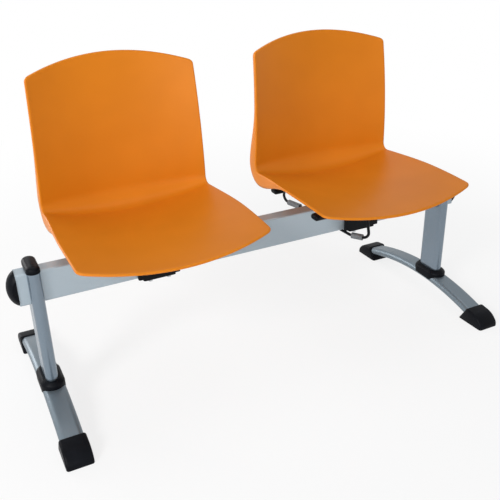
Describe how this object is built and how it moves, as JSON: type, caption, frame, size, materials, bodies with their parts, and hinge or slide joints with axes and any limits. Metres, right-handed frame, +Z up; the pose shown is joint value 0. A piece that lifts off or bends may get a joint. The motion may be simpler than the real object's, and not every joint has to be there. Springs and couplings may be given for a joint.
{
  "type": "beam seating",
  "caption": "Waiting-room beam seating: orange moulded shells side by side on a silver beam with arched feet and a wire loop under one seat.",
  "frame": {"origin": "on the floor, under the middle of the bounding box", "axes": "+X along the beam towards the sitter's left, where the wire loop is, -Y the side that the sitters face, +Z up"},
  "size_m": [1.31, 0.603, 0.7946],
  "materials": {
    "silver_paint": "satin light silver paint",
    "foot_paint": "satin mid grey metallic paint",
    "orange_plastic": "fine matt moulded texture",
    "black_plastic": "satin moulded black",
    "black_steel": "satin black powder coat",
    "zinc_steel": "bright zinc plate",
    "grey_plastic": "soft grey tube"
  },
  "bodies": {
    "root": {"beam_tube": "silver_paint", "beam_cap_left": "black_plastic", "upright_left": "silver_paint", "upright_cap_left": "black_plastic", "foot_insert_left": "zinc_steel", "foot_arch_left": "foot_paint", "foot_cap_left_front": "black_plastic", "foot_cap_left_rear": "black_plastic", "collar_left": "black_plastic", "leg_bolts_left": "zinc_steel", "nut_plate_left": "zinc_steel", "foot_bolts_left": "zinc_steel", "saddle_left": "black_steel", "clamp_plate_left": "black_steel", "clamp_bolts_left": "zinc_steel", "clamp_nuts_left": "zinc_steel", "front_bar_left": "black_steel", "rear_bar_left": "black_steel", "bar_plugs_left": "black_plastic", "bar_screws_left": "zinc_steel", "shell_screws_left": "zinc_steel", "seat_shell_left": "orange_plastic", "beam_cap_right": "black_plastic", "upright_right": "silver_paint", "upright_cap_right": "black_plastic", "foot_insert_right": "zinc_steel", "foot_arch_right": "foot_paint", "foot_cap_right_front": "black_plastic", "foot_cap_right_rear": "black_plastic", "collar_right": "black_plastic", "leg_bolts_right": "zinc_steel", "nut_plate_right": "zinc_steel", "foot_bolts_right": "zinc_steel", "saddle_right": "black_steel", "clamp_plate_right": "black_steel", "clamp_bolts_right": "zinc_steel", "clamp_nuts_right": "zinc_steel", "front_bar_right": "black_steel", "rear_bar_right": "black_steel", "bar_plugs_right": "black_plastic", "bar_screws_right": "zinc_steel", "shell_screws_right": "zinc_steel", "seat_shell_right": "orange_plastic", "wire_loop": "black_steel", "wire_sleeve_front": "grey_plastic", "wire_sleeve_rear": "grey_plastic"}
  },
  "joints": []
}
